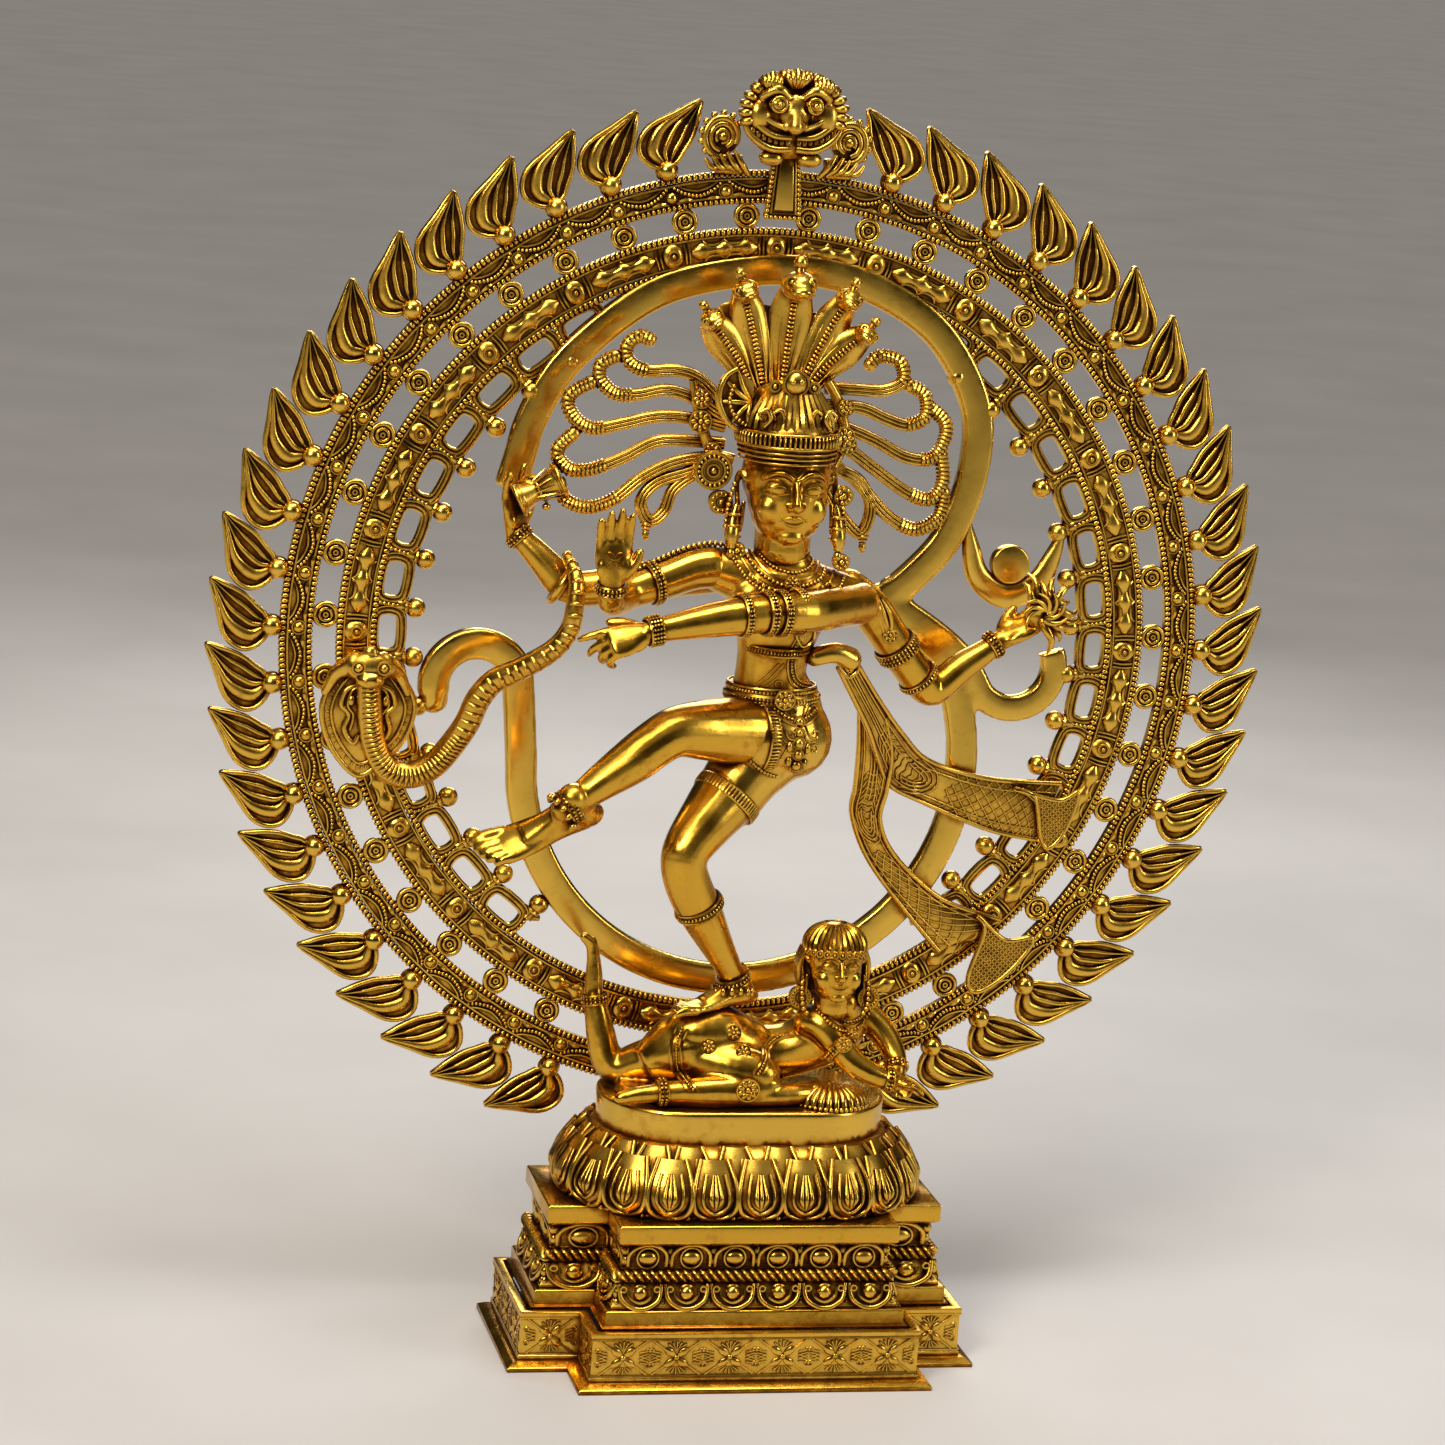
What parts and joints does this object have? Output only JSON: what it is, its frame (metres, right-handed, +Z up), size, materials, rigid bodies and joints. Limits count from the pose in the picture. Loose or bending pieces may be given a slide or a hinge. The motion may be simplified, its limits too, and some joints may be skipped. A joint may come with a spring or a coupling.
{
  "type": "dancing figure statue",
  "caption": "Brass dancing figure with four arms on a small lying figure, in a round ring of flames on a stepped lotus pedestal.",
  "frame": {"origin": "middle of the base's rest face, on the table", "axes": "+Z up, +X to the viewer's right when facing the figure, +Y to the back"},
  "size_m": [0.7834, 0.228, 0.915],
  "materials": {
    "polished_brass": "hand-polished cast brass with dark patina in the hollows",
    "antique_relief": "chased cast brass, brown patina in the relief, tops rubbed bright",
    "steel_fixings": "plain zinc-plated steel"
  },
  "bodies": {
    "root": {"base_flange": "polished_brass", "dado": "antique_relief", "step_slab": "polished_brass", "lower_petal_frieze": "antique_relief", "rope_moulding": "polished_brass", "upper_petal_frieze": "antique_relief", "cap_slab": "polished_brass", "lotus_cushion": "polished_brass", "deck_drum": "polished_brass", "tie_bar": "steel_fixings", "tie_rods": "steel_fixings", "washers": "steel_fixings", "nuts": "steel_fixings", "foot_stud": "steel_fixings", "aureole_lugs": "antique_relief", "lug_bolts": "steel_fixings", "outer_bead_rim": "antique_relief", "garland_band": "antique_relief", "second_bead_row": "antique_relief", "rosette_row": "antique_relief", "third_bead_row": "antique_relief", "cartouche_band": "antique_relief", "fourth_bead_row": "antique_relief", "loop_fringe": "antique_relief", "flames": "polished_brass", "flame_studs": "polished_brass", "symbol_band": "polished_brass", "crescent": "polished_brass", "moon_disc": "polished_brass", "crest_mask": "polished_brass", "crest_scrolls": "antique_relief", "crest_tablet": "polished_brass", "torso": "polished_brass", "head": "polished_brass", "crown": "polished_brass", "hair_ornaments": "antique_relief", "ear_ornaments": "polished_brass", "cobra_hood": "antique_relief", "hair_locks_left": "antique_relief", "hair_locks_right": "antique_relief", "front_right_arm": "polished_brass", "front_left_arm": "polished_brass", "rear_right_arm": "polished_brass", "rear_left_arm": "polished_brass", "hand_drum": "polished_brass", "hand_flame": "polished_brass", "shorts": "antique_relief", "raised_leg": "polished_brass", "standing_leg": "polished_brass", "necklaces": "antique_relief", "sacred_thread": "antique_relief", "belt": "antique_relief", "armlets": "antique_relief", "bracelets": "antique_relief", "anklets": "antique_relief", "sash": "antique_relief", "arm_cobra": "polished_brass", "small_figure": "polished_brass", "small_figure_head": "polished_brass", "cushion": "antique_relief"}
  },
  "joints": []
}
